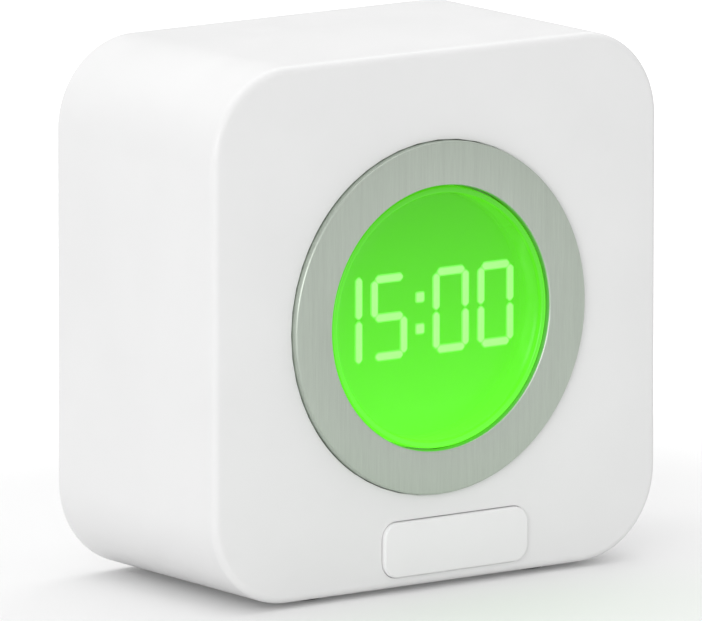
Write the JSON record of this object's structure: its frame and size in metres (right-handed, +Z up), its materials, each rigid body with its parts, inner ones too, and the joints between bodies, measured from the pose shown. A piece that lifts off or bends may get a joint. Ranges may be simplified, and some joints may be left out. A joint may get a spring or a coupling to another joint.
{
  "type": "desk countdown timer",
  "caption": "Square table-top countdown timer: a turning metal dial ring round a lit digital display that presses in to start.",
  "frame": {"origin": "on the surface that the four rubber feet stand on, below the middle of the casing", "axes": "+Z up, the dial and display face -Y, +X to the right as seen by someone who reads the display"},
  "size_m": [0.08, 0.042, 0.0798],
  "materials": {
    "casing_plastic": "fine satin moulded white",
    "name_plate": "satin white, blank",
    "dial_metal": "brushed",
    "display_lens": "lit diffusing green",
    "display_segments": "lit pale green segments",
    "inner_white": "moulded",
    "black_plastic": "moulded",
    "knob_plastic": "ribbed",
    "grey_plastic": "moulded",
    "gear_plastic": "smooth acetal",
    "screw_steel": "plated",
    "socket_steel": "drawn",
    "foot_rubber": "matt",
    "silicone": "matt translucent",
    "circuit_board": "green solder mask",
    "led_package": "moulded",
    "battery_foil": "satin foil",
    "foam": "foam tape",
    "lead_red": "sleeve",
    "lead_black": "sleeve",
    "light_pipe": "clear"
  },
  "bodies": {
    "casing": {"front_shell": "casing_plastic", "rear_cover": "casing_plastic", "name_plate": "name_plate", "digit_plate": "display_segments", "light_reflector": "inner_white", "display_chassis": "inner_white", "battery_connector": "inner_white", "board_header": "black_plastic", "start_switch": "black_plastic", "processor": "black_plastic", "buzzer": "black_plastic", "usb_tongue": "black_plastic", "power_switch": "black_plastic", "encoder_body": "grey_plastic", "io_ribbon": "grey_plastic", "glide_washer": "gear_plastic", "cover_screw_1": "screw_steel", "cover_screw_2": "screw_steel", "cover_screw_3": "screw_steel", "cover_screw_4": "screw_steel", "board_screw_1": "screw_steel", "board_screw_2": "screw_steel", "board_screw_3": "screw_steel", "board_screw_4": "screw_steel", "io_screw_1": "screw_steel", "io_screw_2": "screw_steel", "usb_socket": "socket_steel", "rubber_foot_1": "foot_rubber", "rubber_foot_2": "foot_rubber", "rubber_foot_3": "foot_rubber", "rubber_foot_4": "foot_rubber", "return_ring": "silicone", "display_board": "circuit_board", "main_board": "circuit_board", "io_board": "circuit_board", "display_led_1": "led_package", "display_led_2": "led_package", "display_led_3": "led_package", "display_led_4": "led_package", "status_led": "led_package", "battery": "battery_foil", "battery_pad": "foam", "battery_lead_red": "lead_red", "battery_lead_black": "lead_black", "light_pipe": "light_pipe"},
    "dial": {"dial_ring": "dial_metal", "dial_carrier": "black_plastic", "ring_gear": "gear_plastic", "gear_screw_1": "screw_steel", "gear_screw_2": "screw_steel", "gear_screw_3": "screw_steel"},
    "encoder_rotor": {"encoder_pinion": "gear_plastic", "encoder_shaft": "socket_steel"},
    "display_button": {"display_lens": "display_lens"},
    "switch_plunger": {"start_plunger": "grey_plastic"},
    "power_knob": {"power_slider": "knob_plastic"}
  },
  "joints": [
    {"name": "dial_turn", "type": "hinge", "parent": "casing", "child": "dial", "pos_m": [0, -0.019, 0.0403], "axis": [0, -1, 0], "continuous": true},
    {"name": "encoder_spin", "type": "hinge", "parent": "casing", "child": "encoder_rotor", "pos_m": [0.02032, -0.0135, 0.0143], "axis": [0, -1, 0], "continuous": true},
    {"name": "display_press", "type": "slide", "parent": "casing", "child": "display_button", "axis": [0, 1, 0], "range_m": [0, 0.0005], "stiffness_N_per_m": 2000, "springref_m": -0.0003},
    {"name": "plunger_press", "type": "slide", "parent": "casing", "child": "switch_plunger", "axis": [0, 1, 0], "range_m": [0, 0.0005]},
    {"name": "power_slide", "type": "slide", "parent": "casing", "child": "power_knob", "axis": [1, 0, 0], "range_m": [0, 0.002]}
  ],
  "couplings": [
    {"joint": "encoder_spin", "follows": "dial_turn", "ratio": -4.5},
    {"joint": "plunger_press", "follows": "display_press", "ratio": 1}
  ]
}
